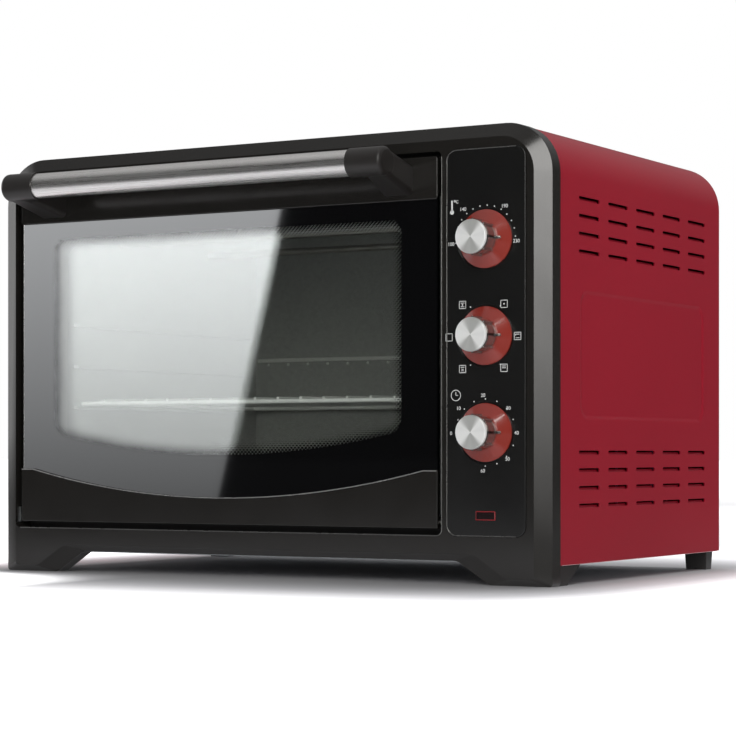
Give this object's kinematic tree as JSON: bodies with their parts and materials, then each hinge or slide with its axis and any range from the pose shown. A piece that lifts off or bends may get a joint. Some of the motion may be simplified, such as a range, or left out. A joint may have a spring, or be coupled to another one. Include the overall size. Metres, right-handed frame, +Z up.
{
  "type": "electric countertop oven",
  "caption": "Countertop oven: red steel case, black front frame, drop-down glass door with a bar handle, wire rack, and red dials with pointers on a black panel at the right.",
  "frame": {"origin": "on the table, under the middle of the oven's overall box", "axes": "+X to the right seen from the front, +Y to the back, +Z up"},
  "size_m": [0.565, 0.4273, 0.381],
  "materials": {
    "frame_plastic": "gloss black moulding",
    "fascia_plastic": "fine matt black with light grey print",
    "red_plastic": "high gloss red moulding",
    "lens_plastic": "clear red lens",
    "red_enamel": "gloss red coated sheet",
    "black_enamel": "satin black coated sheet",
    "black_plastic": "fine grained",
    "white_plastic": "plain",
    "zinc_sheet": "zinc coated sheet",
    "cavity_steel": "aluminised sheet",
    "element_steel": "heat darkened tube",
    "handle_steel": "brushed along its length",
    "screw_steel": "plain",
    "rack_chrome": "bright wire",
    "knob_chrome": "bright",
    "knob_aluminium": "spun face",
    "white_ceramic": "unglazed",
    "door_glass": "gloss, printed black around a clear window",
    "clear_glass": "gloss",
    "lamp_glass": "gloss",
    "wire_rubber": "insulated wire"
  },
  "bodies": {
    "housing": {"front_frame": "frame_plastic", "control_fascia": "fascia_plastic", "indicator_lens": "lens_plastic", "indicator_lamp": "lamp_glass", "outer_case": "red_enamel", "base_plate": "zinc_sheet", "front_panel": "zinc_sheet", "rear_cover": "black_enamel", "cord_gland": "black_plastic", "front_feet": "black_plastic", "rear_feet": "black_plastic", "rear_screws": "screw_steel", "foot_screws": "screw_steel", "cavity_supports": "zinc_sheet", "cavity_left_wall": "cavity_steel", "cavity_right_wall": "cavity_steel", "cavity_floor": "cavity_steel", "cavity_ceiling": "cavity_steel", "cavity_back_wall": "cavity_steel", "heat_shield": "zinc_sheet", "lower_element_front": "element_steel", "lower_element_rear": "element_steel", "upper_element_front": "element_steel", "upper_element_rear": "element_steel", "element_insulators": "white_ceramic", "oven_lamp_glass": "lamp_glass", "oven_lamp_holder": "white_ceramic", "thermostat_body": "black_plastic", "selector_switch": "black_plastic", "timer_body": "black_plastic", "timer_bell": "screw_steel", "control_screws": "screw_steel", "terminal_block": "white_plastic", "wiring": "wire_rubber", "hinge_bracket_left": "zinc_sheet", "hinge_bracket_right": "zinc_sheet"},
    "door": {"door_bottom_rail": "frame_plastic", "door_top_rail": "frame_plastic", "door_glass": "door_glass", "door_inner_frame": "cavity_steel", "door_inner_glass": "clear_glass", "hinge_pins": "screw_steel", "handle_bar": "handle_steel", "handle_end_left": "frame_plastic", "handle_end_right": "frame_plastic", "handle_screws": "screw_steel"},
    "temperature_knob": {"temperature_knob_skirt": "red_plastic", "temperature_knob_body": "knob_chrome", "temperature_knob_cap": "knob_aluminium", "temperature_knob_shaft": "screw_steel"},
    "function_knob": {"function_knob_skirt": "red_plastic", "function_knob_body": "knob_chrome", "function_knob_cap": "knob_aluminium", "function_knob_shaft": "screw_steel"},
    "timer_knob": {"timer_knob_skirt": "red_plastic", "timer_knob_body": "knob_chrome", "timer_knob_cap": "knob_aluminium", "timer_knob_shaft": "screw_steel"},
    "rack": {"wire_rack": "rack_chrome"}
  },
  "joints": [
    {"name": "door_hinge", "type": "hinge", "parent": "housing", "child": "door", "pos_m": [0, -0.14735, 0.051], "axis": [1, 0, 0], "range_deg": [0, 84]},
    {"name": "rack_slide", "type": "slide", "parent": "housing", "child": "rack", "axis": [0, -1, 0], "range_m": [0, 0.1395]},
    {"name": "temperature_knob_turn", "type": "hinge", "parent": "housing", "child": "temperature_knob", "pos_m": [0.2245, -0.15735, 0.2858], "axis": [0, 1, 0], "range_deg": [-183, 0]},
    {"name": "function_knob_turn", "type": "hinge", "parent": "housing", "child": "function_knob", "pos_m": [0.2245, -0.15735, 0.206], "axis": [0, 1, 0], "range_deg": [-180, 120]},
    {"name": "timer_knob_turn", "type": "hinge", "parent": "housing", "child": "timer_knob", "pos_m": [0.2245, -0.15735, 0.1262], "axis": [0, 1, 0], "range_deg": [-180, 90]}
  ],
  "couplings": [
    {"joint": "rack_slide", "follows": "door_hinge", "m_per_rad": 0.095}
  ]
}
